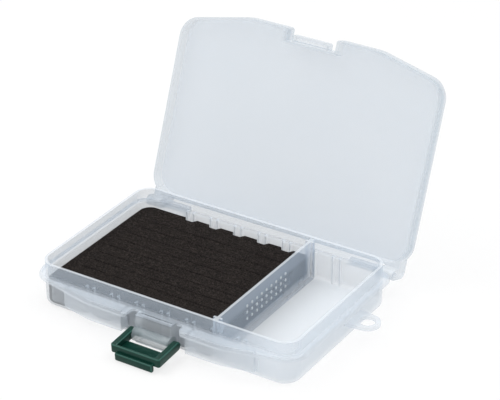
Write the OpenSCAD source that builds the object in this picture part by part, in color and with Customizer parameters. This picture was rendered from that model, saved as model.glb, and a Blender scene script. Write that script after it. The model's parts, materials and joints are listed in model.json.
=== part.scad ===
// Pocket fly box: a shallow tray with a snap-hinged lid, a swinging front latch,
// a lift-out divider and a slit foam pad. Millimetres, lid open, latch swung down.
// X runs along the long front side, Y from front to back, Z up.
// The origin is the middle of the tray's bottom face.

/* [Tray] */
// Outer width of the tray walls, left to right
tray_w = 138.6; // [126:1:170]
// Outer depth of the tray walls, front to back
tray_d = 88.2; // [74:0.2:110]
// Height of the rim above the table
tray_h = 22.3; // [20.5:0.1:27]
// Radius of the tray's upright corners
tray_corner_r = 8.5; // [6:0.5:12]
// Thickness of the moulded walls
wall = 1.3; // [1:0.1:1.8]
// Thickness of the floor
floor_t = 1.3; // [1:0.1:2]
// Round between the walls and the underside
foot_r = 2.4; // [1.4:0.1:2.6]

/* [Flange and bow] */
// Height of the flange's top face, where the closed lid lands
flange_z = 15.9; // [15:0.1:18]
// How far the flange stands out from the side walls
flange_side = 3.3; // [3:0.1:5]
// How far the flange stands out from the back wall
flange_back = 1.3; // [1.2:0.1:4]
// Radius of the flange's front corners and of all the lid's corners in plan
flange_corner_r = 11; // [8:0.5:14]
// Radius of the flange's two back corners in plan
flange_back_r = 8.8; // [7:0.2:11]
// Radius of the flange's rolled edge
flange_edge_r = 2; // [1.6:0.1:2.4]
// How far the bowed front stands ahead of the front wall
bow_out = 8; // [7.8:0.1:11]
// Half length of the bow's straight middle
bow_half = 36; // [32:1:42]
// Radius that blends the bow's middle into its flanks
bow_blend_r = 24; // [10:1:40]
// Step from the flange's edge in to the skirt below it
skirt_inset = 1.2; // [0.6:0.1:1.6]
// Height of the skirt's open bottom edge above the table
skirt_z = 4.8; // [3:0.1:8]
// Half width of the skirt, from its left end to its right end
skirt_half = 52; // [46:1:54]

/* [Latch recess] */
// Clear width between the two ends of the skirt
recess_w = 35; // [33:0.5:40]
// Side gap between the latch frame and the flange's two ends
flange_gap_play = 0.7; // [0.5:0.1:2]
// Width of the flange left along the front wall, behind that gap
gap_strip = 2; // [1.6:0.1:2.6]
// Radius of the flange's corners beside the gap
flange_gap_r = 3; // [1:0.5:4]
// Radius of the two corners at the end of that gap
gap_end_r = 1.4; // [0.6:0.2:2]
// Depth of the two grip grooves across the tower's top
grip_groove = 0.5; // [0.3:0.1:0.8]
// Width of the tower that carries the latch
tower_w = 19.6; // [17:0.2:20]
// How far the tower stands ahead of the front wall
tower_out = 6.3; // [5.5:0.1:6.4]
// Height of the tower's lower end above the table
tower_z = 1.4; // [0.5:0.1:3]
// Outer radius of the latch barrel
barrel_r = 3.8; // [3:0.1:3.9]
// Distance of the latch axis ahead of the front wall
latch_axis_out = 5.9; // [5.6:0.1:6.2]
// Height of the latch axis above the table
latch_axis_z = 6.3; // [5.6:0.1:6.6]

/* [Latch] */
// Angle that the open latch hangs below level
latch_droop = 4; // [0:1:5]
// Side gap between an arm of the latch and the tower
arm_play = 0.5; // [0.3:0.1:0.8]
// Thickness of the two arms
arm_t = 3; // [2.4:0.1:3.2]
// Depth of the arms above and below, measured square to the frame
arm_h = 4.4; // [3.6:0.1:4.6]
// Distance from the axis to the outer face of the end wall
latch_reach = 15.3; // [15.2:0.1:16.2]
// Thickness of the end wall that hooks over the lid's tab
end_wall_t = 1.3; // [1:0.1:2]
// Thickness of the frame's face plate
face_t = 1.3; // [0.9:0.1:1.4]
// Gap between the face plate and the barrel
face_gap = 2; // [0.6:0.1:3]
// Width of the finger lip
lip_w = 20; // [14:0.2:22]
// Drop of the finger lip below the face plate
lip_drop = 2.9; // [1.5:0.1:3.2]
// How far the finger lip stands ahead of the end wall
lip_out = 1.7; // [0.8:0.1:2]
// Thickness of the finger lip
lip_t = 2.2; // [1.4:0.1:2.6]
// Radius of the latch's two stub pins
pin_r = 1.3; // [1:0.05:1.5]
// Length of each stub pin inside the barrel
pin_len = 3; // [2:0.1:5]
// Radial play of a pin in its bore
pin_play = 0.08; // [0.03:0.01:0.1]
// Round of the frame's corners, seen square to its face
latch_corner_r = 1.2; // [0.5:0.1:2]
// Gap between the end wall and the tab's ledge when shut
hook_gap = 0.2; // [0.1:0.05:0.4]

/* [Lid] */
// Gap between the tray's rim and the lid's top plate when shut
rim_gap = 0.2; // [0.1:0.05:0.5]
// Thickness of the lid's walls
lid_wall = 1.2; // [1:0.1:1.4]
// Thickness of the lid's top plate
lid_top_t = 1; // [0.9:0.1:1.5]
// Outer round between the lid's top and its walls
lid_edge_r = 1.6; // [1.3:0.1:2.2]
// Gap between the lid's skirt and the flange when shut
lid_gap = 0.1; // [0.05:0.05:0.3]
// Angle that the lid stands open
lid_open = 111; // [60:1:120]
// Side gap between the latch frame and the notch over it
notch_play = 0.4; // [0.4:0.1:1.5]
// Depth of the notch's back wall from the front wall of the tray
notch_back = 1.8; // [1.5:0.1:2.4]
// Radius of the lid's corners beside the notch
notch_mouth_r = 1.4; // [0.6:0.1:1.6]
// Side gap between the tab that the latch hooks over and the latch's arms
tab_play = 0.2; // [0.1:0.1:1]
// Reach of the tab ahead of the front wall of the tray
tab_out = 5.3; // [5:0.1:6.2]
// Radius of the tab's two free corners in plan
tab_corner_r = 1; // [0.5:0.1:1.1]
// Radius of the two ridges along the tab's ledge
tab_ridge_r = 0.4; // [0.2:0.1:0.5]

/* [Lid hinge] */
// Distance of the hinge axis behind the flange
hinge_back = 2.9; // [2.9:0.1:4]
// Drop of the hinge axis below the flange's top face
hinge_drop = 3.9; // [3.5:0.1:5]
// Radius of the hinge knuckles and ears
knuckle_r = 2.6; // [2.3:0.1:2.8]
// Length of each hinge knuckle on the tray
knuckle_len = 15.5; // [8:0.5:20]
// How far a knuckle's web rises above the hinge axis
web_rise = 1; // [0.5:0.1:1.5]
// Distance from the middle to the outer face of a lid ear
ear_x = 70; // [66:0.5:72]
// Thickness of a lid ear
ear_t = 8; // [5:0.2:9]
// Side gap between an ear and its knuckle
ear_gap = 0.3; // [0.2:0.05:0.5]
// Round at the top of an ear
ear_crown_r = 3.4; // [2:0.1:4]
// Radius of the dimple in an ear's outer face, over the pin
dimple_r = 1.5; // [1:0.1:1.8]
// Depth of that dimple
dimple_depth = 0.8; // [0.4:0.1:1.5]
// Step from the lid's top face down to the top of an ear
ear_drop = 0.8; // [0.4:0.1:1.6]

/* [Divider slots] */
// Number of divider slots along each long wall
slot_count = 7; // [3:2:9]
// Distance from one slot to the next
slot_pitch = 13.8; // [11:0.1:14.4]
// Shift of the row of slots to the right of the tray's middle
slot_shift = 0.8; // [0:0.1:1]
// Clear gap between the two ribs of a slot
slot_gap = 2.7; // [2.2:0.1:3]
// Thickness of each rib
rib_t = 1.2; // [0.8:0.1:1.5]
// How far the ribs stand out from the wall
rib_out = 1.8; // [1.2:0.1:2.4]
// Height of the rib tops above the table
rib_z = 16.5; // [12:0.1:18]

/* [Divider] */
// Slot that the divider stands in, counted from the middle one
divider_slot_index = 2; // [1:1:2]
// Thickness of the divider's web
divider_t = 1.3; // [1:0.1:1.8]
// Width of the flange at each end of the divider
divider_end_w = 4.4; // [3:0.1:5]
// Thickness of that end flange
divider_end_t = 1.2; // [0.8:0.1:1.6]
// Width of the bead along the divider's foot
divider_foot_w = 4.2; // [2.6:0.1:5]
// Height of that bead
divider_foot_h = 1.4; // [1:0.1:2.5]
// Drop of the divider's top edge below the rim
divider_drop = 0.5; // [0.2:0.1:2]
// Side play of the divider in its slot and between the walls
divider_play = 0.2; // [0.1:0.05:0.3]

/* [Foam pad] */
// Thickness of the foam pad
foam_t = 10.8; // [6:0.1:14]
// Gap between the foam and the tray's long walls and ribs
foam_gap = 0.2; // [0.1:0.05:0.5]
// Gap between the foam's ends and what it lies between
foam_end_gap = 0.8; // [0.3:0.1:1.5]
// Radius of the foam's two corners beside the divider
foam_corner_r = 1; // [0.5:0.1:2]
// Gap between the foam and the floor
foam_lift = 0.1; // [0.05:0.05:0.2]

/* [Lanyard eye] */
// Distance of the eye's centre behind the front wall
eye_y = 52.9; // [35:0.5:60]
// Distance of the eye's centre out from the side wall
eye_out = 8.4; // [7:0.1:10]
// Height of the eye's middle plane above the table
eye_z = 9.5; // [7:0.1:11]
// Outer radius of the eye
eye_r = 6.1; // [5.5:0.1:7]
// Radius of the eye's hole
eye_hole_r = 3.9; // [3:0.1:4.2]
// Thickness of the eye
eye_t = 1.8; // [1.4:0.1:2.4]
// Width of the eye's root along the wall
eye_root_w = 14.6; // [13:0.2:18]

/* [Hidden] */
$fn = 96;

seam = 0.2;                                  // overlap of shapes that fuse into one moulding
past = 1;                                    // how far a cut runs past what it cuts
crown_fn = 20;                               // facets of a crowned edge's full circle
front_y = -tray_d / 2;                       // outer face of the front wall
back_y = tray_d / 2;                         // outer face of the back wall
side_x = tray_w / 2 + flange_side;           // outer edge of the flange at the sides
rim_back_y = back_y + flange_back;           // outer edge of the flange at the back
bow_y = front_y - bow_out;                   // outer edge of the flange at the bow
lid_z = flange_z + lid_gap;                  // skirt edge of the shut lid
lid_top_z = tray_h + rim_gap + lid_top_t;    // top face of the shut lid
lid_depth = lid_top_z - lid_z;               // from the top face to the skirt edge
hinge_y = rim_back_y + hinge_back;
hinge_z = flange_z - hinge_drop;
latch_y = front_y - latch_axis_out;
latch_z = latch_axis_z;
bore_r = pin_r + pin_play;
inner_w = tower_w + 2 * arm_play;            // clear width between the latch's arms
latch_w = inner_w + 2 * arm_t;               // width of the latch frame
flange_gap = latch_w + 2 * flange_gap_play;  // clear width between the flange's two ends
notch_half = latch_w / 2 + notch_play;       // half width of the notch over the latch
tab_w = inner_w - 2 * tab_play;              // width of the tab
inner_foot_r = foot_r - wall / 2;            // round between the floor and the walls inside
ledge_z = latch_z + latch_reach - end_wall_t - hook_gap;
rib_pair_w = slot_gap + 2 * rib_t;
divider_x = slot_x(divider_slot_index);
frosted = [0.86, 0.89, 0.93, 0.75];

// Corner lists: [x, y, radius], counter-clockwise seen from above.
tray_corners = [
    [-tray_w / 2, front_y, tray_corner_r],
    [tray_w / 2, front_y, tray_corner_r],
    [tray_w / 2, back_y, tray_corner_r],
    [-tray_w / 2, back_y, tray_corner_r]
];
function bowed_corners(back_r) = [
    [-side_x, front_y, flange_corner_r],
    [-bow_half, bow_y, bow_blend_r],
    [bow_half, bow_y, bow_blend_r],
    [side_x, front_y, flange_corner_r],
    [side_x, rim_back_y, back_r],
    [-side_x, rim_back_y, back_r]
];
flange_corners = bowed_corners(flange_back_r);
lid_corners = bowed_corners(flange_corner_r);

function slot_x(k) = k * slot_pitch + slot_shift;

// --- Rounded outlines of straight runs and true arcs ---

function unit(v) = v / norm(v);
function left_of(d) = [-d[1], d[0]];
function point(c) = [c[0], c[1]];
function at(list, i) = list[(i + len(list)) % len(list)];
function dir_in(c, i) = unit(point(c[i]) - point(at(c, i - 1)));
function dir_out(c, i) = unit(point(at(c, i + 1)) - point(c[i]));
function heading(d) = atan2(d[1], d[0]);
function turn(c, i) = acos(dir_in(c, i) * dir_out(c, i));
function arc_start(c, i) = point(c[i]) - dir_in(c, i) * c[i][2] * tan(turn(c, i) / 2);
function arc_end(c, i) = point(c[i]) + dir_out(c, i) * c[i][2] * tan(turn(c, i) / 2);
function arc_centre(c, i) = arc_start(c, i) + left_of(dir_in(c, i)) * c[i][2];

// The area inside a rounded outline, drawn in by inset all round.
module filled(corners, inset = 0) {
    polygon([
        for (i = [0 : len(corners) - 1])
            for (p = [
                arc_start(corners, i) + left_of(dir_in(corners, i)) * inset,
                arc_end(corners, i) + left_of(dir_out(corners, i)) * inset
            ]) p
    ]);
    for (i = [0 : len(corners) - 1])
        translate(arc_centre(corners, i)) circle(r = corners[i][2] - inset);
}

// Carries a profile round the outline: the profile's +X points outwards and its +Y up.
module swept(corners) {
    for (i = [0 : len(corners) - 1]) {
        start = arc_end(corners, i);
        finish = arc_start(corners, (i + 1) % len(corners));
        translate([start[0], start[1], 0])
            rotate([0, 0, heading(dir_out(corners, i)) - 90])
                rotate([90, 0, 0])
                    mirror([0, 0, 1])
                        linear_extrude(norm(finish - start)) children();
        centre = arc_centre(corners, i);
        translate([centre[0], centre[1], 0])
            rotate([0, 0, heading(dir_in(corners, i)) - 90])
                rotate_extrude(angle = turn(corners, i))
                    translate([corners[i][2], 0]) children();
    }
}

// A quarter disc in the corner at the origin, filling the side towards -X and +Y.
module quarter_disc(r) {
    intersection() {
        translate([-r, r]) circle(r = r);
        translate([-r, 0]) square([r, r]);
    }
}

// An upright block on a rounded outline, with its bottom edge rounded.
module footed_block(corners, inset, h, r) {
    linear_extrude(h) filled(corners, inset + r);
    translate([0, 0, r]) linear_extrude(h - r) filled(corners, inset);
    swept(corners) translate([-inset, 0]) quarter_disc(r);
}

// The same block hanging below z = 0, with its top edge rounded, for outlines
// whose runs aren't square to each other.
module crowned_block(corners, h, r) {
    hull()
        for (i = [0 : len(corners) - 1]) {
            centre = arc_centre(corners, i);
            translate([centre[0], centre[1], -r])
                rotate_extrude() translate([corners[i][2] - r, 0])
                    intersection() {
                        circle(r = r, $fn = crown_fn);
                        square([r, r]);
                    }
            translate([centre[0], centre[1], -h]) cylinder(r = corners[i][2], h = h - r);
        }
}

// --- Tray ---

module tray_shell() {
    difference() {
        footed_block(tray_corners, 0, tray_h, foot_r);
        translate([0, 0, floor_t])
            footed_block(tray_corners, wall, tray_h, inner_foot_r);
    }
}

// The flange's flat top and its rolled edge, open at the latch.
module flange() {
    difference() {
        translate([0, 0, flange_z]) crowned_block(flange_corners, flange_edge_r + seam, flange_edge_r);
        translate([0, 0, flange_z - flange_edge_r - past])
            linear_extrude(flange_edge_r - wall + past) filled(flange_corners, wall);
        translate([0, 0, flange_z - flange_edge_r - past])
            linear_extrude(flange_edge_r + 2 * past) {
                filled(tray_corners, wall / 2);
                flange_opening();
            }
    }
}

// The gap in the flange at the latch, with rounded corners at its mouth and at its end.
module flange_opening() {
    half = flange_gap / 2;
    depth = bow_out - gap_strip;
    mouth_rounds(half, flange_gap_r);
    translate([-half, bow_y - past]) square([flange_gap, depth - gap_end_r + past]);
    translate([gap_end_r - half, bow_y]) square([flange_gap - 2 * gap_end_r, depth]);
    for (s = [-1, 1])
        translate([s * (half - gap_end_r), bow_y + depth - gap_end_r]) circle(r = gap_end_r);
}

// What rounds off the two corners at the mouth of an opening in the bow.
module mouth_rounds(half, r) {
    for (s = [-1, 1])
        difference() {
            translate([s * (half + r / 2) - r / 2, bow_y - past]) square([r, r + past]);
            translate([s * (half + r), bow_y + r]) circle(r = r);
        }
}

// The hollow skirt below the bow, in two halves beside the latch recess.
module bow_skirt() {
    translate([0, 0, skirt_z])
        linear_extrude(flange_z - wall / 2 - skirt_z)
            for (s = [-1, 1])
                intersection() {
                    skirt_walls(s);
                    filled(flange_corners, skirt_inset);
                }
}

module skirt_walls(s) {
    reach = bow_out + seam;
    near = recess_w / 2;
    low = s > 0 ? near : -skirt_half;
    difference() {
        translate([low, bow_y]) square([skirt_half - near, reach]);
        intersection() {
            translate([low + wall, bow_y]) square([skirt_half - near - 2 * wall, reach + past]);
            filled(flange_corners, skirt_inset + wall);
        }
    }
}

// The tower in the recess: a hollow block with the latch barrel along its foot.
module latch_tower() {
    depth = tower_out + seam;
    difference() {
        union() {
            translate([-tower_w / 2, front_y - tower_out, tower_z])
                cube([tower_w, depth, flange_z - tower_z]);
            along_x(tower_w, latch_y, latch_z) circle(r = barrel_r);
        }
        for (k = [1, 2])
            translate([-tower_w / 2 + wall, front_y - k * tower_out / 3, flange_z - grip_groove])
                cube([tower_w - 2 * wall, 2 * grip_groove, grip_groove + past]);
        along_x(tower_w + 2 * past, latch_y, latch_z) circle(r = bore_r);
        translate([-tower_w / 2 + wall, front_y - tower_out + wall, tower_z - past])
            cube([tower_w - 2 * wall, tower_out - 2 * wall, latch_z - barrel_r - tower_z + past]);
    }
}

// A bar along X, centred on x = 0, whose section is drawn about (y, z).
module along_x(len, y, z) {
    translate([-len / 2, y, z]) rotate([90, 0, 90]) linear_extrude(len) children();
}

// Pairs of upright ribs with round noses, on both long walls.
module slot_ribs() {
    last = (slot_count - 1) / 2;
    for (k = [-last : last])
        for (edge = [-1, 1])
            for (side = [-1, 1])
                translate([
                    slot_x(k) + edge * (slot_gap + rib_t) / 2,
                    side * (back_y - wall),
                    floor_t / 2
                ])
                    linear_extrude(rib_z - floor_t / 2) rib_section(side);
}

module rib_section(side) {
    nose = rib_out - rib_t / 2;
    translate([-rib_t / 2, side > 0 ? -nose : -seam]) square([rib_t, nose + seam]);
    translate([0, -side * nose]) circle(d = rib_t);
}

// The lanyard eye: a flat root on the right wall that narrows to a ring.
module lanyard_eye() {
    eye_x = tray_w / 2 + eye_out;
    root_x = tray_w / 2 - wall / 2;
    half = eye_root_w / 2;
    run = eye_x - root_x;
    lean = atan2(half, run) + acos(eye_r / norm([run, half]));
    touch = [eye_x - eye_r * cos(lean), eye_r * sin(lean)];
    translate([0, front_y + eye_y, eye_z - eye_t / 2])
        difference() {
            linear_extrude(eye_t) {
                translate([eye_x, 0]) circle(r = eye_r);
                polygon([[root_x, -half], [touch[0], -touch[1]], touch, [root_x, half]]);
            }
            translate([eye_x, 0, -past]) cylinder(r = eye_hole_r, h = eye_t + 2 * past);
        }
}

// Two hinge knuckles on webs behind the back wall, inboard of the lid's ears.
module knuckles() {
    outer = ear_x - ear_t - ear_gap;
    web_h = knuckle_r + web_rise;
    for (s = [-1, 1])
        translate([s > 0 ? outer - knuckle_len : -outer, 0, 0])
            difference() {
                union() {
                    translate([0, hinge_y, hinge_z]) rotate([0, 90, 0])
                        cylinder(r = knuckle_r, h = knuckle_len);
                    translate([0, back_y - seam, hinge_z - knuckle_r])
                        cube([knuckle_len, hinge_y - back_y + seam, web_h]);
                }
                translate([-past, hinge_y, hinge_z]) rotate([0, 90, 0])
                    cylinder(r = bore_r, h = knuckle_len + 2 * past);
            }
}

module base_tray() {
    color(frosted) {
        difference() {
            union() {
                tray_shell();
                flange();
                bow_skirt();
                latch_tower();
                lanyard_eye();
                knuckles();
            }
            translate([0, 0, floor_t + foot_r])
                linear_extrude(tray_h) filled(tray_corners, wall);
        }
        slot_ribs();
    }
}

// --- Lid ---

// The lid as it lies shut, with its ears, before the notch is cut.
module lid_shell() {
    difference() {
        union() {
            translate([0, 0, lid_top_z]) crowned_block(lid_corners, lid_depth, lid_edge_r);
            for (s = [-1, 1]) ear(s);
        }
        translate([0, 0, lid_z - past])
            linear_extrude(lid_depth - lid_top_t + past) filled(lid_corners, lid_wall);
    }
}

// Plan of the notch over the latch, drawn in by inset.
module notch_plan(inset) {
    half = notch_half + inset;
    translate([-half, bow_y - past])
        square([2 * half, bow_out - notch_back + inset + past]);
}

// The walls that close the lid behind and beside the notch.
module notch_walls() {
    translate([0, 0, lid_z])
        linear_extrude(lid_depth - lid_edge_r / 2)
            intersection() {
                filled(lid_corners, lid_edge_r / 2);
                notch_plan(lid_wall);
            }
}

// Plan of the tab: only its two free corners are rounded.
module tab_plan() {
    half = tab_w / 2;
    filled([
        [-half, front_y - tab_out, tab_corner_r],
        [half, front_y - tab_out, tab_corner_r],
        [half, front_y - notch_back + seam, seam / 2],
        [-half, front_y - notch_back + seam, seam / 2]
    ]);
}

// The hollow tab in the notch, open below: the latch's end wall hooks over its ledge.
module hook_tab() {
    pocket_w = tab_w - 2 * lid_wall;
    difference() {
        translate([0, 0, lid_z]) linear_extrude(ledge_z - lid_z) tab_plan();
        translate([-pocket_w / 2, front_y - tab_out + lid_wall, lid_z - past])
            cube([pocket_w, tab_out - notch_back - lid_wall, ledge_z - lid_z - lid_wall + past]);
    }
    for (k = [1, 2])
        along_x(tab_w - 2 * lid_wall, front_y - tab_out + k * lid_wall, ledge_z - tab_ridge_r / 2)
            circle(r = tab_ridge_r);
}

// An ear hangs behind each back corner and carries a stub pin.
module ear(s) {
    crown = ear_crown_r;
    top = lid_top_z - ear_drop;
    inner_y = rim_back_y - flange_corner_r + lid_wall;
    x = s > 0 ? ear_x - ear_t : -ear_x;
    pin_x = s > 0 ? x - ear_gap - pin_len : x + ear_t - seam;
    translate([x, 0, 0]) rotate([90, 0, 90]) linear_extrude(ear_t) {
        translate([hinge_y, hinge_z]) circle(r = knuckle_r);
        translate([hinge_y - knuckle_r, hinge_z]) square([2 * knuckle_r, top - hinge_z - crown]);
        translate([inner_y, lid_z])
            square([hinge_y + knuckle_r - crown - inner_y, top - lid_z]);
        translate([hinge_y + knuckle_r - crown, top - crown]) circle(r = crown);
    }
    translate([pin_x, hinge_y, hinge_z]) rotate([0, 90, 0])
        cylinder(r = pin_r, h = pin_len + ear_gap + seam);
}

module shut_lid() {
    difference() {
        union() {
            lid_shell();
            notch_walls();
        }
        translate([0, 0, lid_z - past])
            linear_extrude(lid_depth + 2 * past) {
                notch_plan(0);
                mouth_rounds(notch_half, notch_mouth_r);
            }
        for (s = [-1, 1])
            translate([s * ear_x, 0, 0])
                along_x(2 * dimple_depth, hinge_y, hinge_z) circle(r = dimple_r);
    }
    hook_tab();
}

module lid() {
    color(frosted)
        translate([0, hinge_y, hinge_z])
            rotate([-lid_open, 0, 0])
                translate([0, -hinge_y, -hinge_z])
                    shut_lid();
}

// --- Latch, swung down in front of the box ---

// Side view of one arm: round at the axis, square at the end wall.
module arm_section() {
    circle(d = arm_h);
    translate([-latch_reach, -arm_h / 2]) square([latch_reach, arm_h]);
}

// Outline of the frame, seen square to its face: its two free corners are rounded.
module frame_plan() {
    half = latch_w / 2;
    filled([
        [-half, -latch_reach, latch_corner_r],
        [half, -latch_reach, latch_corner_r],
        [half, arm_h, seam],
        [-half, arm_h, seam]
    ]);
}

module latch_frame() {
    face_len = latch_reach - barrel_r - face_gap;
    intersection() {
        union() {
            for (s = [-1, 1])
                translate([s > 0 ? inner_w / 2 : -latch_w / 2, 0, 0])
                    rotate([90, 0, 90]) linear_extrude(arm_t) arm_section();
            translate([-latch_w / 2, -latch_reach, -arm_h / 2])
                cube([latch_w, face_len, face_t]);
            translate([-latch_w / 2, -latch_reach, -arm_h / 2])
                cube([latch_w, end_wall_t, arm_h]);
        }
        translate([0, 0, -arm_h]) linear_extrude(2 * arm_h) frame_plan();
    }
    translate([-lip_w / 2, -latch_reach - lip_out, -arm_h / 2 - lip_drop])
        finger_lip();
    for (s = [-1, 1])
        translate([s > 0 ? inner_w / 2 - pin_len : -inner_w / 2 - seam, 0, 0])
            rotate([0, 90, 0]) cylinder(r = pin_r, h = pin_len + seam);
}

// The lip stands below the end wall, with a rounded lower edge.
module finger_lip() {
    round_r = lip_t / 2;
    rotate([90, 0, 90]) linear_extrude(lip_w) {
        translate([round_r, round_r]) circle(r = round_r);
        translate([0, round_r]) square([lip_t, lip_drop + face_t - round_r]);
    }
}

module latch() {
    color([0.11, 0.27, 0.24])
        translate([0, latch_y, latch_z])
            rotate([latch_droop, 0, 0])
                latch_frame();
}

// --- Divider, standing in its slot ---

module divider() {
    web_h = tray_h - divider_drop - floor_t - divider_play;
    inner_y = back_y - wall - divider_play;
    rib_end = back_y - wall - rib_out - divider_play;
    tongue_w = slot_gap - 2 * divider_play;
    foot_half = rib_end - divider_end_t / 2;
    color(frosted)
        translate([divider_x, 0, floor_t + divider_play]) {
            translate([-divider_t / 2, -rib_end, 0]) cube([divider_t, 2 * rib_end, web_h]);
            for (s = [-1, 1]) {
                translate([-divider_end_w / 2, s > 0 ? rib_end - divider_end_t : -rib_end, 0])
                    cube([divider_end_w, divider_end_t, web_h]);
                translate([-tongue_w / 2, s > 0 ? rib_end - seam : -inner_y, inner_foot_r])
                    cube([tongue_w, inner_y - rib_end + seam, web_h - inner_foot_r]);
            }
            translate([-divider_foot_w / 2, -foot_half, 0])
                cube([divider_foot_w, 2 * foot_half, divider_foot_h]);
        }
}

// --- Foam pad, lying in the left bay ---

module foam_plan() {
    left = -tray_w / 2 + wall + foam_end_gap;
    right = divider_x - max(divider_end_w, divider_foot_w) / 2 - foam_end_gap;
    near = front_y + wall + foam_gap;
    r = tray_corner_r - wall - foam_end_gap;
    corners = [
        [left, near, r],
        [right, near, foam_corner_r],
        [right, -near, foam_corner_r],
        [left, -near, r]
    ];
    first = -(slot_count - 1) / 2;
    notch_w = rib_pair_w + 2 * foam_gap;
    notch_d = rib_out + foam_gap;
    difference() {
        filled(corners);
        for (k = [first : divider_slot_index - 1])
            for (side = [-1, 1])
                translate([slot_x(k) - notch_w / 2, side > 0 ? back_y - wall - notch_d : front_y])
                    square([notch_w, notch_d + wall]);
    }
}

module foam_pad() {
    color([0.17, 0.16, 0.15])
        translate([0, 0, floor_t + foam_lift])
            intersection() {
                linear_extrude(foam_t) foam_plan();
                footed_block(tray_corners, wall + foam_gap, tray_h, inner_foot_r);
            }
}

base_tray();
lid();
latch();
divider();
foam_pad();
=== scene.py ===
"""Looks of a pocket fly box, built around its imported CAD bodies.

The tray, the lid and the divider keep their CAD shapes and get the materials of their mouldings. The
divider also gets small pips to grip it by, the latch gets rounded edges, and the foam pad is a new mesh
with its slits and its notched sides. Lengths are metres in the part's frame: X runs along the front, Y
from the latch to the hinge and Z up, with the tray's bottom on z = 0.
"""

import json
import logging
import math
from dataclasses import dataclass, field
from enum import Enum
from typing import Any

import bmesh
import bpy
import numpy as np
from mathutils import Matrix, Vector


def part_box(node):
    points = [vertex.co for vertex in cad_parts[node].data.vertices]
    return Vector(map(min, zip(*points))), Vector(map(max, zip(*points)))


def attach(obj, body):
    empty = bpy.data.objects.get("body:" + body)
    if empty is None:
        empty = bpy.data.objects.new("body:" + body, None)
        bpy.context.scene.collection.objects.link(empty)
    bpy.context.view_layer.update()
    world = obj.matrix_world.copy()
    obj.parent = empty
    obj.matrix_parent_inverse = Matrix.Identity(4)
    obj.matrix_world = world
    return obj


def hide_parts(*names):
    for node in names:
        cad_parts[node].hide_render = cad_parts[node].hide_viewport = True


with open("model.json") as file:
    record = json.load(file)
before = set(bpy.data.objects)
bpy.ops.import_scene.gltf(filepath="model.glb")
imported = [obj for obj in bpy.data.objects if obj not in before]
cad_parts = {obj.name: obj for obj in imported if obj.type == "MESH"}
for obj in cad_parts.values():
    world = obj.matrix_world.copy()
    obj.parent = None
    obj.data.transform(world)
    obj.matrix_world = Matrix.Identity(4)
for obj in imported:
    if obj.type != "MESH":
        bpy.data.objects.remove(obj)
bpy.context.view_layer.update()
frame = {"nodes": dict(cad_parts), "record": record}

LOG = logging.getLogger("fly_box")
MM = 0.001
UP = Vector((0.0, 0.0, 1.0))
# Faces that meet at more than this are shaded as two.
SHARP_ANGLE = math.radians(40)
# The face attribute that marks the rounded edges that get a painted highlight.
EDGE_HIGHLIGHT = "painted_edge_highlight"
# The Mix node's sockets for colours: its two ends and its result.
MIX_FIRST, MIX_SECOND, MIX_RESULT = 6, 7, 2

Tree = bpy.types.NodeTree
Socket = bpy.types.NodeSocket
Piece = bpy.types.Object
Point = tuple[float, float, float]
Faces = list[tuple[int, ...]]


# --- Small helpers ---


def linear(hex_colour: str) -> tuple[float, float, float, float]:
    """Turns an sRGB hex colour into linear light.

    Args:
        hex_colour: Six hex digits, two each for red, green and blue.

    Returns:
        Red, green and blue as ((c + 0.055) / 1.055) ** 2.4, or c / 12.92 near black, and an alpha of 1.
    """
    parts = np.array([int(hex_colour[i : i + 2], 16) / 255 for i in (0, 2, 4)])
    light = np.where(parts > 0.04045, ((parts + 0.055) / 1.055) ** 2.4, parts / 12.92)
    return (float(light[0]), float(light[1]), float(light[2]), 1.0)


def add_node(tree: Tree, kind: str, inputs: dict[Any, Any] | None = None, **settings: Any) -> Any:
    """Adds one shader node with its settings and its links.

    Args:
        tree: The node tree that gets the node.
        kind: The node's type name.
        inputs: For each input, by name or place, a value, a colour in hex digits, or another's output.
        settings: The node's own settings.

    Returns:
        The new node.
    """
    node = tree.nodes.new(kind)
    for name, value in settings.items():
        setattr(node, name, value)
    for key, value in (inputs or {}).items():
        if isinstance(value, Socket):
            tree.links.new(value, node.inputs[key])
        else:
            node.inputs[key].default_value = linear(value) if isinstance(value, str) else value
    return node


def new_material(name: str) -> tuple[bpy.types.Material, Tree]:
    """Makes an empty node material.

    Args:
        name: The material's name.

    Returns:
        The material and its node tree.
    """
    material = bpy.data.materials.new(name)
    material.use_nodes = True
    material.node_tree.nodes.clear()
    return material, material.node_tree


def mesh_object(name: str, points: np.ndarray, faces: Faces, smooth: bool = True) -> Piece:
    """Makes a mesh object whose place is in its mesh.

    Args:
        name: The piece's name.
        points: Vertices, one row each, in metres.
        faces: Tuples of vertex numbers, counter-clockwise seen from outside.
        smooth: Whether the faces are shaded smooth.

    Returns:
        The linked object, at the origin.
    """
    mesh = bpy.data.meshes.new(name)
    mesh.from_pydata(points.tolist(), [], faces)
    mesh.polygons.foreach_set("use_smooth", np.full(len(mesh.polygons), smooth))
    mesh.update()
    piece = bpy.data.objects.new(name, mesh)
    bpy.context.scene.collection.objects.link(piece)
    return piece


def tube_faces(rings: int, points: int) -> np.ndarray:
    """Numbers the four corners of each cell of a tube of closed rings, stored ring by ring.

    Args:
        rings: Number of rings.
        points: Number of points in a ring.

    Returns:
        An array of quads: point (i, j), (i, j + 1), (i + 1, j + 1) and (i + 1, j), where the last point
        of a ring is followed by its first.
    """
    i, j = np.meshgrid(np.arange(rings - 1), np.arange(points), indexing="ij")
    here = (i * points + j).ravel()
    beside = (i * points + (j + 1) % points).ravel()
    return np.stack([here, beside, beside + points, here + points], axis=1)


def smoothstep(value: np.ndarray) -> np.ndarray:
    """Eases a ramp from 0 to 1: 3 t squared minus 2 t cubed, with t held between 0 and 1."""
    t = np.clip(value, 0.0, 1.0)
    return t * t * (3.0 - 2.0 * t)


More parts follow.
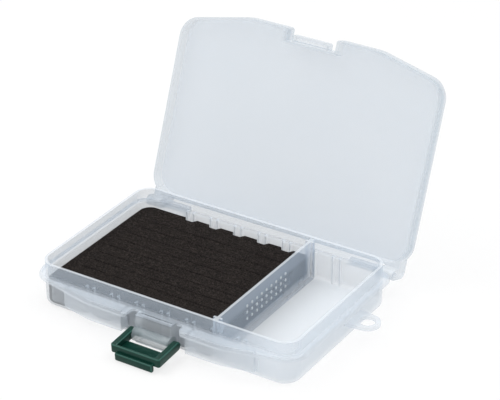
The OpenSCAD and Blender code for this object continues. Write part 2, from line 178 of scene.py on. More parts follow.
def dress(piece: Piece, material: bpy.types.Material) -> Piece:
    """Gives every material slot of a piece one material, and gives the piece back."""
    if not piece.material_slots:
        piece.data.materials.append(material)
    for slot in piece.material_slots:
        slot.material = material
    return piece


def hinge_of(name: str) -> dict[str, Any]:
    """Gives one joint of the record by its name."""
    return next(joint for joint in frame["record"]["behaviour"]["joints"] if joint["name"] == name)


# --- Finishes ---


@dataclass(frozen=True)
class Pattern:
    """A noise by its real size in metres, its octaves and how much the small ones count."""

    size: float
    octaves: float
    roughness: float = 0.5

    def inputs(self, place: Socket) -> dict[str, Any]:
        """Gives a noise node's inputs: read at the given place, with one over the size as the scale."""
        return {
            "Vector": place,
            "Scale": 1 / self.size,
            "Detail": self.octaves,
            "Roughness": self.roughness,
        }


@dataclass(frozen=True)
class Ramp:
    """A straight ramp from 0 at its start to its top at its end, held level on both sides."""

    start: float
    end: float
    top: float = 1.0

    def inputs(self, value: Socket) -> dict[str, Any]:
        """Gives a range node's inputs: the top times the value's way from the start to the end."""
        return {"Value": value, "From Min": self.start, "From Max": self.end, "To Max": self.top}


@dataclass(frozen=True)
class Relief:
    """A bump in the material: its strength, and how deep it is in metres."""

    strength: float
    depth: float

    def inputs(self, height: Socket) -> dict[str, Any]:
        """Gives a bump node's inputs: the strength, the depth and the height that it follows."""
        return {"Strength": self.strength, "Distance": self.depth, "Height": height}


@dataclass(frozen=True)
class Barrel:
    """A solid barrel along X: a point on its axis, its radius and half its length."""

    at: Vector
    radius: float
    half: float

    def share(self, tree: Tree, place: Socket) -> Socket:
        """Gives 1 within the radius from the axis and the half length from the point, and 0 elsewhere."""
        away = add_node(tree, "ShaderNodeVectorMath", {0: place, 1: self.at}, operation="SUBTRACT")
        offset = away.outputs["Vector"]
        parts = add_node(tree, "ShaderNodeSeparateXYZ", {0: offset})
        side = add_node(tree, "ShaderNodeMath", {0: parts.outputs["X"]}, operation="ABSOLUTE").outputs[0]
        along = add_node(tree, "ShaderNodeMath", {0: side, 1: self.half}, operation="LESS_THAN")
        across = add_node(
            tree,
            "ShaderNodeVectorMath",
            {0: offset, 1: (0.0, 1.0, 1.0)},
            operation="MULTIPLY",
        )
        reach = add_node(tree, "ShaderNodeVectorMath", {0: across.outputs["Vector"]}, operation="LENGTH")
        around = add_node(
            tree,
            "ShaderNodeMath",
            {0: reach.outputs["Value"], 1: self.radius},
            operation="LESS_THAN",
        )
        return add_node(
            tree,
            "ShaderNodeMath",
            {0: along.outputs[0], 1: around.outputs[0]},
            operation="MULTIPLY",
        ).outputs[0]


@dataclass(frozen=True)
class FrostedPolypropylene:
    """Natural polypropylene, injection moulded in a spark-eroded mould.

    To the eye it is a soft milky sheet. A wall of a millimetre lets through what is close behind it,
    turns bluish over something dark, and goes white where it is looked at along its length, as at rims.
    """

    name: str
    rim_normal: Vector
    rim_height: float
    body: str = "d5e2ef"
    # Down the walls the foot's tone and opacity take over. These defaults are the tray's: its paler, denser
    # foot is painted light, standing for the light that the white floor sends up through the skirt.
    foot: str = "dde4eb"
    rim: str = "e9eff5"
    # The barrel's grey is partly its denser solid and partly painted shade from below.
    barrel_tone_and_shade: str = "99a7ac"
    opacity: float = 0.19
    foot_opacity: float = 0.31
    grazing_opacity: float = 0.55
    rim_opacity: float = 0.55
    barrel_opacity: float = 0.5
    shadow_share: float = 0.45
    barrel: Barrel | None = None
    # The rim's face is known by its height, less a margin. The walls' feet start and end so far below it.
    rim_margin: float = 0.05 * MM
    foot_start: float = 5.6 * MM
    foot_end: float = 7.7 * MM
    slant_blend: float = 0.3
    # Faint clouds, as wide as the melt's flow marks.
    flow: Pattern = Pattern(28.0 * MM, 2.0)
    clouding: Ramp = Ramp(0.3, 0.7, 0.15)
    # The mould's grain is below a tenth of a millimetre: it is drawn coarser, so that it can show.
    grain: Pattern = Pattern(0.35 * MM, 3.0, 0.6)
    relief: Relief = Relief(0.03, 0.05 * MM)
    roughness: float = 0.36
    ior: float = 1.49

    def height(self, tree: Tree, place: Socket) -> Socket:
        """Gives how far a point lies along the rim's normal: their dot product."""
        return add_node(
            tree,
            "ShaderNodeVectorMath",
            {0: place, 1: self.rim_normal},
            operation="DOT_PRODUCT",
        ).outputs["Value"]

    def rim_share(self, tree: Tree, height: Socket) -> Socket:
        """Gives 1 on the rim's narrow face and 0 elsewhere: whether the height passes the rim's own."""
        return add_node(
            tree,
            "ShaderNodeMath",
            {0: height, 1: self.rim_height - self.rim_margin},
            operation="GREATER_THAN",
        ).outputs[0]

    def foot_share(self, tree: Tree, height: Socket) -> Socket:
        """Gives how far down the draft a point lies: 0 near the rim and 1 at the walls' feet."""
        draft = Ramp(self.rim_height - self.foot_start, self.rim_height - self.foot_end)
        return add_node(tree, "ShaderNodeMapRange", draft.inputs(height)).outputs["Result"]

    def density(self, tree: Tree, foot: Socket, zones: list[tuple[Socket, float]]) -> Socket:
        """Gives the opacity.

        Square on, it goes down the walls' draft to the foot's opacity; on the tray it grows there, as
        painted light standing for the light that the floor sends up. It rises to the grazing opacity with
        the slant, and each zone has its own. What isn't let straight through goes on as scattered light,
        so a shadow has its own share of it, held to 1 at most.

        Args:
            tree: The material's node tree.
            foot: How far down the draft a point lies.
            zones: The share of each zone, and the opacity inside it.

        Returns:
            The opacity's output.
        """
        value = add_node(
            tree,
            "ShaderNodeMapRange",
            {"Value": foot, "To Min": self.opacity, "To Max": self.foot_opacity},
        ).outputs["Result"]
        slant = add_node(tree, "ShaderNodeLayerWeight", {"Blend": self.slant_blend}).outputs["Facing"]
        for share, opacity in [(slant, self.grazing_opacity), *zones]:
            value = add_node(
                tree,
                "ShaderNodeMapRange",
                {"Value": share, "To Min": value, "To Max": opacity},
            ).outputs["Result"]
        path = add_node(tree, "ShaderNodeLightPath")
        kept = add_node(
            tree,
            "ShaderNodeMapRange",
            {"Value": path.outputs["Is Shadow Ray"], "To Min": 1.0, "To Max": self.shadow_share},
        )
        return add_node(
            tree,
            "ShaderNodeMath",
            {0: value, 1: kept.outputs["Result"]},
            operation="MULTIPLY",
            use_clamp=True,
        ).outputs[0]

    def material(self) -> bpy.types.Material:
        """Builds the material: a milky scatter, denser along its length, with the grain as a fine bump."""
        material, tree = new_material(self.name)
        place = add_node(tree, "ShaderNodeTexCoord").outputs["Object"]
        height = self.height(tree, place)
        rim = self.rim_share(tree, height)
        foot = self.foot_share(tree, height)
        flow = add_node(tree, "ShaderNodeTexNoise", self.flow.inputs(place))
        clouds = add_node(tree, "ShaderNodeMapRange", self.clouding.inputs(flow.outputs["Fac"]))
        pale = add_node(tree, "ShaderNodeMath", {0: clouds.outputs["Result"], 1: rim}, operation="MAXIMUM")
        zones = [(rim, self.rim_opacity)]
        tones = [(foot, self.foot), (pale.outputs[0], self.rim)]
        if self.barrel:
            barrel = self.barrel.share(tree, place)
            zones.append((barrel, self.barrel_opacity))
            # The barrel's grey tone is partly painted shade.
            tones.insert(1, (barrel, self.barrel_tone_and_shade))
        colour = self.body
        for share, tone in tones:
            colour = add_node(
                tree,
                "ShaderNodeMix",
                {0: share, MIX_FIRST: colour, MIX_SECOND: tone},
                data_type="RGBA",
            ).outputs[MIX_RESULT]
        grain = add_node(tree, "ShaderNodeTexNoise", self.grain.inputs(place))
        bump = add_node(tree, "ShaderNodeBump", self.relief.inputs(grain.outputs["Fac"]))
        shader = add_node(
            tree,
            "ShaderNodeBsdfPrincipled",
            {
                "Base Color": colour,
                "Roughness": self.roughness,
                "IOR": self.ior,
                "Alpha": self.density(tree, foot, zones),
                "Normal": bump.outputs["Normal"],
            },
        )
        add_node(tree, "ShaderNodeOutputMaterial", {"Surface": shader.outputs["BSDF"]})
        return material


@dataclass(frozen=True)
class GreenPolypropylene:
    """Mass-coloured dark green polypropylene, injection moulded with a satin skin.

    To the eye it is a deep green with a broad soft gloss and faint lighter clouds from the melt's flow.
    Its rounded edges are painted paler all round, as a painted highlight.
    """

    name: str = "dark_green_polypropylene"
    body: str = "0d362d"
    cloud_and_highlight: str = "1a493f"
    # The pale edge colour is a painted highlight, laid the same on every rounded edge.
    edge: str = "5a9084"
    highlight_share: float = 0.28
    flow: Pattern = Pattern(6.0 * MM, 3.0)
    clouding: Ramp = Ramp(0.35, 0.75, 0.25)
    # The skin's grain is drawn coarser than it is, so that it can show.
    grain: Pattern = Pattern(0.3 * MM, 2.0)
    relief: Relief = Relief(0.15, 0.04 * MM)
    roughness: float = 0.3
    specular: float = 0.2
    ior: float = 1.49

    def material(self) -> bpy.types.Material:
        """Builds the material: a clouded deep colour, a painted highlight on the edges, and a fine grain.
        """
        material, tree = new_material(self.name)
        place = add_node(tree, "ShaderNodeTexCoord").outputs["Object"]
        flow = add_node(tree, "ShaderNodeTexNoise", self.flow.inputs(place))
        clouds = add_node(tree, "ShaderNodeMapRange", self.clouding.inputs(flow.outputs["Fac"]))
        # The marked rounds are painted paler: a painted highlight.
        on_edge = add_node(tree, "ShaderNodeAttribute", attribute_name=EDGE_HIGHLIGHT)
        pale = add_node(
            tree,
            "ShaderNodeMath",
            {0: on_edge.outputs["Fac"], 1: self.highlight_share},
            operation="MULTIPLY",
        )
        colour = self.body
        for share, tone in ((clouds.outputs["Result"], self.cloud_and_highlight), (pale.outputs[0], self.edge)):
            colour = add_node(
                tree,
                "ShaderNodeMix",
                {0: share, MIX_FIRST: colour, MIX_SECOND: tone},
                data_type="RGBA",
            ).outputs[MIX_RESULT]
        grain = add_node(tree, "ShaderNodeTexNoise", self.grain.inputs(place))
        bump = add_node(tree, "ShaderNodeBump", self.relief.inputs(grain.outputs["Fac"]))
        shader = add_node(
            tree,
            "ShaderNodeBsdfPrincipled",
            {
                "Base Color": colour,
                "Roughness": self.roughness,
                "IOR": self.ior,
                "Specular IOR Level": self.specular,
                "Normal": bump.outputs["Normal"],
            },
        )
        add_node(tree, "ShaderNodeOutputMaterial", {"Surface": shader.outputs["BSDF"]})
        return material


@dataclass(frozen=True)
class SlitFoam:
    """Closed-cell polyethylene foam, cut from a sheet.

    To the eye it is nearly black and quite matt, with a fine speckle of cut cells, whose hollows are
    painted shade, and faint pale streaks along the cut, partly scratches and partly a painted glint of
    the slits' lips.
    """

    name: str = "slit_foam"
    # The cells' near-black is painted shade in their hollows.
    cell_shade: str = "070606"
    wall: str = "37312e"
    # The pale streaks are partly scratches along the cut and partly a painted glint of the slits' lips.
    streak_and_glint: str = "5c544f"
    # The cells are some tenths of a millimetre wide: they are drawn a little coarser, so that they show.
    cell_size: float = 0.65 * MM
    cell_walls: Ramp = Ramp(0.1, 0.5)
    speckle: Pattern = Pattern(0.9 * MM, 4.0, 0.7)
    speckle_stretch: Point = (0.6, 1.0, 1.0)
    scratch_and_glint: Pattern = Pattern(0.45 * MM, 1.0)
    scratch_and_glint_stretch: Point = (0.035, 1.0, 1.0)
    scratch_and_glint_share: Ramp = Ramp(0.66, 0.78, 0.3)
    relief: Relief = Relief(0.5, 0.15 * MM)
    roughness: float = 0.92
    specular: float = 0.1

    def material(self) -> bpy.types.Material:
        """Builds the material: cut cells with painted shade in their hollows and lighter walls between
        them, drawn out along the cut.

        The height is the distance to the nearest cell's middle times the speckle; low places have the
        cells' painted shade and high ones the wall's colour, and the streaks, partly a painted glint, lie
        over both.
        """
        material, tree = new_material(self.name)
        place = add_node(tree, "ShaderNodeTexCoord").outputs["Object"]
        cells = add_node(
            tree,
            "ShaderNodeTexVoronoi",
            {"Vector": place, "Scale": 1 / self.cell_size},
            feature="F1",
        )
        along = add_node(tree, "ShaderNodeMapping", {"Vector": place, "Scale": self.speckle_stretch})
        speckle = add_node(tree, "ShaderNodeTexNoise", self.speckle.inputs(along.outputs["Vector"]))
        height = add_node(
            tree,
            "ShaderNodeMath",
            {0: cells.outputs["Distance"], 1: speckle.outputs["Fac"]},
            operation="MULTIPLY",
        ).outputs[0]
        # Low places get the cells' painted shade.
        walls = add_node(tree, "ShaderNodeMapRange", self.cell_walls.inputs(height))
        far_along = add_node(tree, "ShaderNodeMapping", {"Vector": place, "Scale": self.scratch_and_glint_stretch})
        scratch_and_glint = add_node(tree, "ShaderNodeTexNoise", self.scratch_and_glint.inputs(far_along.outputs["Vector"]))
        streaks_and_glints = add_node(tree, "ShaderNodeMapRange", self.scratch_and_glint_share.inputs(scratch_and_glint.outputs["Fac"]))
        colour = self.cell_shade
        tones = [(walls.outputs["Result"], self.wall), (streaks_and_glints.outputs["Result"], self.streak_and_glint)]
        for share, tone in tones:
            colour = add_node(
                tree,
                "ShaderNodeMix",
                {0: share, MIX_FIRST: colour, MIX_SECOND: tone},
                data_type="RGBA",
            ).outputs[MIX_RESULT]
        bump = add_node(tree, "ShaderNodeBump", self.relief.inputs(height))
        shader = add_node(
            tree,
            "ShaderNodeBsdfPrincipled",
            {
                "Base Color": colour,
                "Roughness": self.roughness,
                "Specular IOR Level": self.specular,
                "Normal": bump.outputs["Normal"],
            },
        )
        add_node(tree, "ShaderNodeOutputMaterial", {"Surface": shader.outputs["BSDF"]})
        return material


# --- Pieces ---


@dataclass
class BaseTray:
    """The tray in its CAD shape. The solid barrel of its latch tower is denser and greyer than its walls,
    the grey partly painted shade.
    """

    node: str = "base_tray"
    barrel_radius: float = 3.9 * MM
    barrel_half: float = 10.5 * MM

    def build(self) -> list[Piece]:
        """Dresses the tray."""
        skin = FrostedPolypropylene(
            "frosted_polypropylene",
            UP,
            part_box(self.node)[1].z,
            barrel=Barrel(Vector(hinge_of("latch_hinge")["pos_m"]), self.barrel_radius, self.barrel_half),
        )
        return [dress(frame["nodes"][self.node], skin.material())]


@dataclass
class Lid:
    """The lid in its CAD shape, a shade greyer and denser than the tray."""

    node: str = "lid"
    shut_rim_z: float = 16.0 * MM

    def rim(self) -> tuple[Vector, float]:
        """Gives the open lid's rim plane, from the hinge in the record.

        Shut, the rim lies at shut_rim_z and faces down. Turned by the lid's opening angle a about the
        hinge at (y, z), its normal is (0, -sin a, -cos a), and its distance along that normal is that of
        the hinge plus z - shut_rim_z.

        Returns:
            The rim's outward normal, and how far the plane lies along it.
        """
        hinge = hinge_of("lid_hinge")
        angle = math.radians(-hinge["range_deg"][0])
        normal = Vector((0.0, -math.sin(angle), -math.cos(angle)))
        at = Vector(hinge["pos_m"])
        return normal, normal.dot(at) + at.z - self.shut_rim_z

    def build(self) -> list[Piece]:
        """Dresses the lid."""
        skin = FrostedPolypropylene(
            "frosted_polypropylene_lid",
            *self.rim(),
            body="cdd8e2",
            foot="bdccda",
            rim="d6dee5",
            opacity=0.25,
            foot_opacity=0.37,
            grazing_opacity=0.44,
        )
        return [dress(frame["nodes"][self.node], skin.material())]


class Side(Enum):
    """The long sides of the box."""

    FRONT = -1
    BACK = 1


@dataclass
class FoamPad:
    """The slit foam pad in the left bay: a slab with notches for the slot ribs and slits for the hooks."""

    node: str = "foam_pad"
    end_round: float = 5.5 * MM
    edge_round: float = 0.5 * MM
    notch_centres: tuple[float, ...] = (-40.6 * MM, -26.8 * MM, -13.0 * MM, 0.8 * MM, 14.6 * MM)
    notch_mouth: float = 3.5 * MM
    notch_floor: float = 2.0 * MM
    notch_depth: float = 2.3 * MM
    slit_count: int = 9
    slit_pitch: float = 7.5 * MM
    slit_start: float = -60.0 * MM
    slit_end: float = 18.4 * MM
    slit_half: float = 0.22 * MM
    slit_depth: float = 1.8 * MM
    slit_lip: float = 0.07 * MM
    slit_ease: float = 1.0 * MM
    # The top swells and sinks by this much, in waves of 2 pi times these lengths. Only the band under the
    # highest points follows them, not the slits' floors.
    swell: float = 0.04 * MM
    swell_along: float = 9.0 * MM
    swell_across: float = 7.0 * MM
    top_band: float = 0.12 * MM
    column_step: float = 0.6 * MM
    row_step: float = 1.1 * MM
    end_columns: int = 14
    ease_columns: int = 7
    spread_rows: int = 4
    edge_rows: int = 5
    low: Vector = field(init=False)
    high: Vector = field(init=False)

    def __post_init__(self) -> None:
        """Takes the pad's box from the CAD solid that it stands for."""
        self.low, self.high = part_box(self.node)

    def half_depth(self, x: np.ndarray, side: Side) -> np.ndarray:
        """Gives how far the pad's side stands from the middle line at each x.

        The half depth is the slab's own, less a round of radius r at the left corner,
        r - sqrt(r^2 - (r - d)^2) with d the distance from the left end, and less a trapezium at each
        notch: its depth times a ramp that falls from 1 inside the notch's floor to 0 at its mouth.

        Args:
            x: Places along the pad.
            side: The long side that is asked for.

        Returns:
            The distance from y = 0 to the side, at each x.
        """
        edge = self.high.y if side is Side.BACK else -self.low.y
        into = np.clip(x - self.low.x, 0.0, self.end_round)
        left = np.maximum(self.end_round**2 - (self.end_round - into) ** 2, 0.0)
        corner = self.end_round - np.sqrt(left)
        away = np.min(np.abs(x[:, None] - np.array(self.notch_centres)), axis=1)
        ramp = np.clip((self.notch_mouth - away) / (self.notch_mouth - self.notch_floor), 0.0, 1.0)
        return edge - corner - self.notch_depth * ramp

    def columns(self) -> np.ndarray:
        """Gives the places along the pad, in order.

        They are even steps, steps of equal turn in the corner's round, r (1 - cos a), the corners of
        each notch, and fine steps where the slits' ends ease out, all to a thousandth of a millimetre.
        """
        even = np.arange(self.low.x, self.high.x, self.column_step)
        turn = np.linspace(0, math.pi / 2, self.end_columns)
        corner = self.low.x + self.end_round * (1 - np.cos(turn))
        reaches = np.array([-self.notch_mouth, -self.notch_floor, self.notch_floor, self.notch_mouth])
        notches = np.array(self.notch_centres)[:, None] + reaches
        fine = np.linspace(-self.slit_ease, self.slit_ease, self.ease_columns)
        ends = np.array([self.slit_start, self.slit_end])[:, None] + fine
        places = np.concatenate([even, corner, [self.high.x], notches.ravel(), ends.ravel()])
        return np.unique(np.round(places, 6))

    def top_rows(self) -> tuple[np.ndarray, np.ndarray, np.ndarray]:
        """Gives the top's rows from front to back.

        Nine rows belong to each slit, at fixed multiples of its half width. Even rows fill the space
        between them, five half widths clear of a slit's middle, and go on for two steps past the
        outermost slits.

        Returns:
            Each row's y, how deep a slit cuts there and how high its lips stand there, as shares of 1.
        """
        steps = np.array([-4.0, -2.2, -1.0, -0.35, 0.0, 0.35, 1.0, 2.2, 4.0])
        cut = np.array([0.0, 0.0, 0.0, 0.75, 1.0, 0.75, 0.0, 0.0, 0.0])
        lip = np.array([0.0, 0.55, 1.0, 0.0, 0.0, 0.0, 1.0, 0.55, 0.0])
        slits = self.slit_pitch * (np.arange(self.slit_count) - (self.slit_count - 1) / 2)
        limit = slits[-1] + 2 * self.row_step
        plain = np.arange(-limit, limit + self.row_step / 2, self.row_step)
        clear = np.min(np.abs(plain[:, None] - slits), axis=1)
        plain = plain[clear > 5 * self.slit_half]
        y = np.concatenate([(slits[:, None] + steps * self.slit_half).ravel(), plain])
        depth = np.concatenate([np.tile(cut, self.slit_count), np.zeros(len(plain))])
        rise = np.concatenate([np.tile(lip, self.slit_count), np.zeros(len(plain))])
        order = np.argsort(y)
        return y[order], depth[order], rise[order]

    def side_rows(self, x: np.ndarray, side: Side, inner: float) -> tuple[np.ndarray, np.ndarray]:
        """Works out one side's rows, from the top's outermost row outwards and down to the bottom.

        The first rows share the way to the round evenly, so they follow the notches. The round is a
        quarter circle, y = half depth - r + r sin a and z = top - r + r cos a. Two rows end it, at half
        height and at the bottom.

        Args:
            x: Places along the pad.
            side: The long side that is asked for.
            inner: How far the top's outermost row lies from the middle line.

        Returns:
            The rows' y and z, with a line for each x and a column for each row.
        """
        r = self.edge_round
        half = self.half_depth(x, side)[:, None]
        share = np.arange(1, self.spread_rows + 1) / self.spread_rows
        turn = np.linspace(math.pi / 2 / self.edge_rows, math.pi / 2, self.edge_rows)
        spread = inner + (half - r - inner) * share
        y = side.value * np.concatenate([spread, half - r + r * np.sin(turn), half, half], axis=1)
        top = np.full(self.spread_rows, self.high.z)
        foot = [0.5 * (self.high.z + self.low.z), self.low.z]
        z = np.concatenate([top, self.high.z - r + r * np.cos(turn), foot])
        return y, np.broadcast_to(z, y.shape)

    def surface(self) -> tuple[np.ndarray, Faces]:
        """Works out the pad as a tube of closed sections along x.

        Each section runs up the front side, over the top to the back, down the back side and along the
        bottom. The top lies at the slab's height, less each slit's depth and plus its lips, both times
        an ease along x from 0 at the slit's ends, plus a swell. The swell is its height times
        sin(x / along) cos(y / across) - 1.

        Returns:
            The points and the faces, with one flat face at each end.
        """
        x = self.columns()
        rows, cut, lip = self.top_rows()
        starts = smoothstep((x - self.slit_start) / self.slit_ease + 0.5)
        ends = smoothstep((self.slit_end - x) / self.slit_ease + 0.5)
        slit = self.slit_lip * lip - self.slit_depth * cut
        top_z = self.high.z + slit * (starts * ends)[:, None]
        top_y = np.broadcast_to(rows, top_z.shape)
        front_y, front_z = self.side_rows(x, Side.FRONT, rows[-1])
        back_y, back_z = self.side_rows(x, Side.BACK, rows[-1])
        y = np.concatenate([front_y[:, ::-1], top_y, back_y], axis=1)
        z = np.concatenate([front_z[:, ::-1], top_z, back_z], axis=1)
        wave = np.sin(x / self.swell_along)[:, None] * np.cos(y / self.swell_across)
        z = np.where(z > self.high.z - self.top_band, z + self.swell * (wave - 1.0), z)
        points = np.stack([np.broadcast_to(x[:, None], y.shape), y, z], axis=2).reshape(-1, 3)
        count = y.shape[1]
        sides = [tuple(quad) for quad in tube_faces(len(x), count)[:, ::-1].tolist()]
        left = tuple(range(count))
        right = tuple(reversed(range(len(points) - count, len(points))))
        return points, [*sides, left, right]

    def build(self) -> list[Piece]:
        pad = mesh_object("foam_pad_slit", *self.surface())
        pad.data.set_sharp_from_angle(angle=SHARP_ANGLE)
        dress(pad, SlitFoam().material())
        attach(pad, "base")
        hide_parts(self.node)
        return [pad]


@dataclass
class Divider:
    """The divider in its CAD shape, with raised pips to grip it by on its right face."""

    node: str = "divider"
    web_half: float = 0.65 * MM
    rows: int = 3
    columns: int = 9
    pitch_y: float = 4.2 * MM
    pitch_z: float = 3.4 * MM
    centre_z: float = 12.5 * MM
    pip_radius: float = 0.8 * MM
    pip_height: float = 0.4 * MM
    pip_sink: float = 0.1 * MM
    pip_tip: float = 0.93
    rings: int = 4
    spokes: int = 14

    def pips(self, face_x: float) -> tuple[np.ndarray, Faces]:
        """Works out all pips at once as domes on the plane x = face_x.

        A dome's ring at t from 0 to the tip's has the radius R cos(t pi / 2) and the height
        H sin(t pi / 2), and a small flat face closes the last one. The first ring lies a little inside
        the divider.

        Args:
            face_x: The divider's right face.

        Returns:
            The points and the faces of all domes.
        """
        t = np.linspace(0.0, self.pip_tip, self.rings) * math.pi / 2
        a = np.linspace(0.0, 2 * math.pi, self.spokes, endpoint=False)
        radius = self.pip_radius * np.cos(t)[:, None]
        height = self.pip_height * np.sin(t)[:, None]
        height[0] = -self.pip_sink
        ring_x = np.broadcast_to(height, (self.rings, self.spokes))
        dome = np.stack([ring_x, radius * np.cos(a), radius * np.sin(a)], axis=2).reshape(-1, 3)
        row, column = np.meshgrid(np.arange(self.rows), np.arange(self.columns), indexing="ij")
        y = (column.ravel() - (self.columns - 1) / 2) * self.pitch_y
        z = self.centre_z + (row.ravel() - (self.rows - 1) / 2) * self.pitch_z
        places = np.stack([np.full(y.shape, face_x), y, z], axis=1)
        points = (places[:, None, :] + dome[None, :, :]).reshape(-1, 3)
        starts = np.arange(len(places)) * len(dome)
        quads = (starts[:, None, None] + tube_faces(self.rings, self.spokes)).reshape(-1, 4)
        faces = [tuple(quad) for quad in quads.tolist()]
        last = (self.rings - 1) * self.spokes
        for start in starts.tolist():
            faces.append(tuple(start + last + k for k in range(self.spokes)))
            faces.append(tuple(start + k for k in reversed(range(self.spokes))))
        return points, faces

    def build(self) -> list[Piece]:
        """Dresses the divider, and builds its pips in a whiter skin of the same resin.

        The photograph shows a soft dark shadow beside the divider, so its shadow's share lies above 1.
        """
        low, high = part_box(self.node)
        skin = FrostedPolypropylene(
            "frosted_polypropylene_divider",
            UP,
            high.z,
            body="dcebfc",
            foot="c6d4e3",
            foot_opacity=0.17,
            shadow_share=3.2,
        )
        pip_skin = FrostedPolypropylene(
            "frosted_polypropylene_pips",
            UP,
            high.z,
            body="f2f6fa",
            foot="f2f6fa",
            opacity=0.5,
            foot_opacity=0.5,
        )
        divider = dress(frame["nodes"][self.node], skin.material())
        pips = mesh_object("divider_grip_pips", *self.pips((low.x + high.x) / 2 + self.web_half))
        dress(pips, pip_skin.material())
        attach(pips, "base")
        return [divider, pips]


@dataclass
class MouldedLatch:
    """The latch as it leaves its mould: its CAD solid with a small round along its outer edges."""

    node: str = "latch"
    merge: float = 0.002 * MM
    flat: float = math.radians(1)
    crease: float = math.radians(40)
    pin_reach: float = 1.6 * MM
    edge_round: float = 0.45 * MM
    segments: int = 3
    # A bevel's profile of a half is a circular round.
    profile: float = 0.5

    def rounded(self, shape: bmesh.types.BMesh) -> list[bmesh.types.BMEdge]:
        """Lists the sharp outer edges, leaving out the pins', whose middles lie near the hinge axis.

        Args:
            shape: The merged latch.

        Returns:
            The edges to round.
        """
        at = Vector(hinge_of("latch_hinge")["pos_m"])
        chosen = []
        for edge in shape.edges:
            middle = (edge.verts[0].co + edge.verts[1].co) / 2 - at
            on_pin = math.hypot(middle.y, middle.z) < self.pin_reach
            outer = edge.is_manifold and edge.is_convex
            if outer and not on_pin and edge.calc_face_angle() > self.crease:
                chosen.append(edge)
        return chosen

    def mesh(self) -> bpy.types.Mesh:
        """Makes the rounded mesh.

        The CAD mesh's copy is merged, its flat faces are joined, and each chosen edge gets a round
        whose faces are marked for the painted edge highlight.
        """
        mesh = frame["nodes"][self.node].data.copy()
        shape = bmesh.new()
        shape.from_mesh(mesh)
        cloud_and_highlight = shape.faces.layers.float.new(EDGE_HIGHLIGHT)
        bmesh.ops.remove_doubles(shape, verts=shape.verts, dist=self.merge)
        bmesh.ops.dissolve_limit(shape, angle_limit=self.flat, verts=shape.verts, edges=shape.edges)
        rounds = bmesh.ops.bevel(
            shape,
            geom=self.rounded(shape),
            offset=self.edge_round,
            segments=self.segments,
            profile=self.profile,
            affect="EDGES",
            clamp_overlap=False,
        )
        # The rounds' faces are marked for the painted edge highlight.
        for face in rounds["faces"]:
            face[cloud_and_highlight] = 1.0
        shape.to_mesh(mesh)
        shape.free()
        mesh.polygons.foreach_set("use_smooth", np.full(len(mesh.polygons), True))
        mesh.set_sharp_from_angle(angle=SHARP_ANGLE)
        return mesh

    def build(self) -> list[Piece]:
        latch = bpy.data.objects.new("latch_moulded", self.mesh())
        bpy.context.scene.collection.objects.link(latch)
        dress(latch, GreenPolypropylene().material())
        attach(latch, "latch")
        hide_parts(self.node)
        return [latch]


# --- Studio ---


@dataclass(frozen=True)
class Softbox:
    """A square soft lamp: its name, its place, its side in metres and its power in watts."""

    name: str
    at: Point
    side: float
    power: float


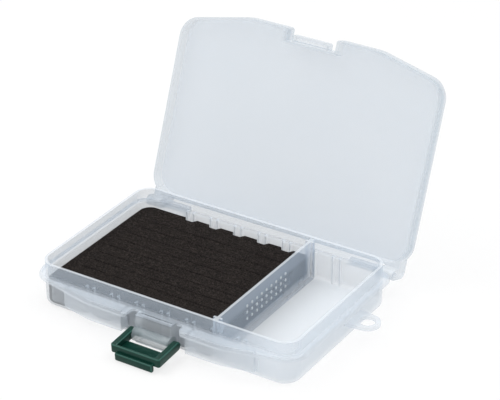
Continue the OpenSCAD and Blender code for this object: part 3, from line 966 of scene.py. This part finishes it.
@dataclass
class Studio:
    """A white floor, soft light and the photograph's camera."""

    camera_at: Point = (0.467779, -0.712849, 0.525397)
    look: Point = (-0.465584, 0.741259, -0.483495)
    clip: tuple[float, float] = (0.05, 20.0)
    focal_pixels: float = 2122.343
    width_pixels: float = 500.0
    sensor_mm: float = 36.0
    floor_half: float = 2.0
    floor_z: float = -0.15 * MM
    floor_paint: str = "f7f7f7"
    white: str = "ffffff"
    glow: float = 0.75
    shadow_reach: float = 0.3
    fade_end: float = 0.8
    world_light: float = 0.62
    aim: Point = (0.0, 0.0, 0.03)
    softboxes: tuple[Softbox, ...] = (
        Softbox("softbox_left", (-0.6, -0.2, 1.3), 0.8, 8.0),
        Softbox("softbox_right", (0.6, 0.5, 1.3), 0.8, 5.0),
        Softbox("softbox_front", (0.3, -1.3, 0.45), 0.8, 1.6),
    )

    def camera(self) -> None:
        """Sets the camera: its lens is the focal length times the sensor's width over the image's."""
        data = bpy.data.cameras.new("photograph_camera")
        data.sensor_width = self.sensor_mm
        data.lens = self.focal_pixels / self.width_pixels * self.sensor_mm
        data.clip_start, data.clip_end = self.clip
        camera = bpy.data.objects.new("photograph_camera", data)
        camera.location = self.camera_at
        camera.rotation_mode = "QUATERNION"
        camera.rotation_quaternion = Vector(self.look).to_track_quat("-Z", "Y")
        bpy.context.scene.collection.objects.link(camera)
        bpy.context.scene.camera = camera

    def seen(self, tree: Tree) -> Socket:
        """Gives 1 for a ray from the camera, off a gloss or through a clear body, and 0 for other light."""
        path = add_node(tree, "ShaderNodeLightPath").outputs
        share = path["Is Camera Ray"]
        for kind in ("Is Glossy Ray", "Is Transmission Ray"):
            either = add_node(tree, "ShaderNodeMath", {0: share, 1: path[kind]}, operation="MAXIMUM")
            share = either.outputs[0]
        return share

    def floor(self) -> None:
        """Lays the floor: white and glowing where it is seen.

        To the eye it is a white sheet with a soft shadow under the box. Near the box a share of the
        paint is left, which takes that shadow. The glow rises to the whole with the distance from the
        origin, between the shadow's reach and the fade's end, so no horizon shows.
        """
        h = self.floor_half
        corners = np.array([[-h, -h], [h, -h], [h, h], [-h, h]])
        points = np.column_stack([corners, np.full(len(corners), self.floor_z)])
        floor = mesh_object("studio_floor", points, [(0, 1, 2, 3)], smooth=False)
        material, tree = new_material("studio_floor_white")
        paint = add_node(tree, "ShaderNodeBsdfDiffuse", {"Color": self.floor_paint})
        light = add_node(tree, "ShaderNodeEmission", {"Color": self.white, "Strength": 1.0})
        place = add_node(tree, "ShaderNodeTexCoord").outputs["Object"]
        away = add_node(tree, "ShaderNodeVectorMath", {0: place}, operation="LENGTH")
        glow = add_node(
            tree,
            "ShaderNodeMapRange",
            {
                "Value": away.outputs["Value"],
                "From Min": self.shadow_reach,
                "From Max": self.fade_end,
                "To Min": self.glow,
                "To Max": 1.0,
            },
        )
        share = add_node(
            tree,
            "ShaderNodeMath",
            {0: self.seen(tree), 1: glow.outputs["Result"]},
            operation="MULTIPLY",
        )
        mix = add_node(
            tree,
            "ShaderNodeMixShader",
            {0: share.outputs[0], 1: paint.outputs["BSDF"], 2: light.outputs["Emission"]},
        )
        add_node(tree, "ShaderNodeOutputMaterial", {"Surface": mix.outputs["Shader"]})
        dress(floor, material)

    def world(self) -> None:
        """Sets the world: white where it is seen, and a softer grey for the light that it gives."""
        world = bpy.data.worlds.new("studio_world")
        bpy.context.scene.world = world
        world.use_nodes = True
        tree = world.node_tree
        tree.nodes.clear()
        strength = add_node(
            tree,
            "ShaderNodeMapRange",
            {"Value": self.seen(tree), "To Min": self.world_light, "To Max": 1.0},
        )
        back = add_node(
            tree,
            "ShaderNodeBackground",
            {"Color": self.white, "Strength": strength.outputs["Result"]},
        )
        add_node(tree, "ShaderNodeOutputWorld", {"Surface": back.outputs["Background"]})

    def lamp(self, box: Softbox) -> None:
        """Hangs one soft lamp that faces the box."""
        data = bpy.data.lights.new(box.name, "AREA")
        data.shape = "SQUARE"
        data.size = box.side
        data.energy = box.power
        lamp = bpy.data.objects.new(box.name, data)
        lamp.location = box.at
        lamp.rotation_mode = "QUATERNION"
        lamp.rotation_quaternion = (Vector(self.aim) - Vector(box.at)).to_track_quat("-Z", "Y")
        bpy.context.scene.collection.objects.link(lamp)

    def build(self) -> None:
        """Builds the camera, the floor, the world and the lamps, and sets the plain view transform."""
        self.camera()
        self.floor()
        self.world()
        for box in self.softboxes:
            self.lamp(box)
        bpy.context.scene.view_settings.view_transform = "Standard"


def main() -> None:
    """Builds and dresses the box, piece by piece, and reports each one."""
    logging.basicConfig(level=logging.INFO, format="%(name)s: %(message)s")
    Studio().build()
    for assembly in (BaseTray(), Lid(), FoamPad(), Divider(), MouldedLatch()):
        for piece in assembly.build():
            LOG.info("%s: %d faces", piece.name, len(piece.data.polygons))


if __name__ == "__main__":
    main()
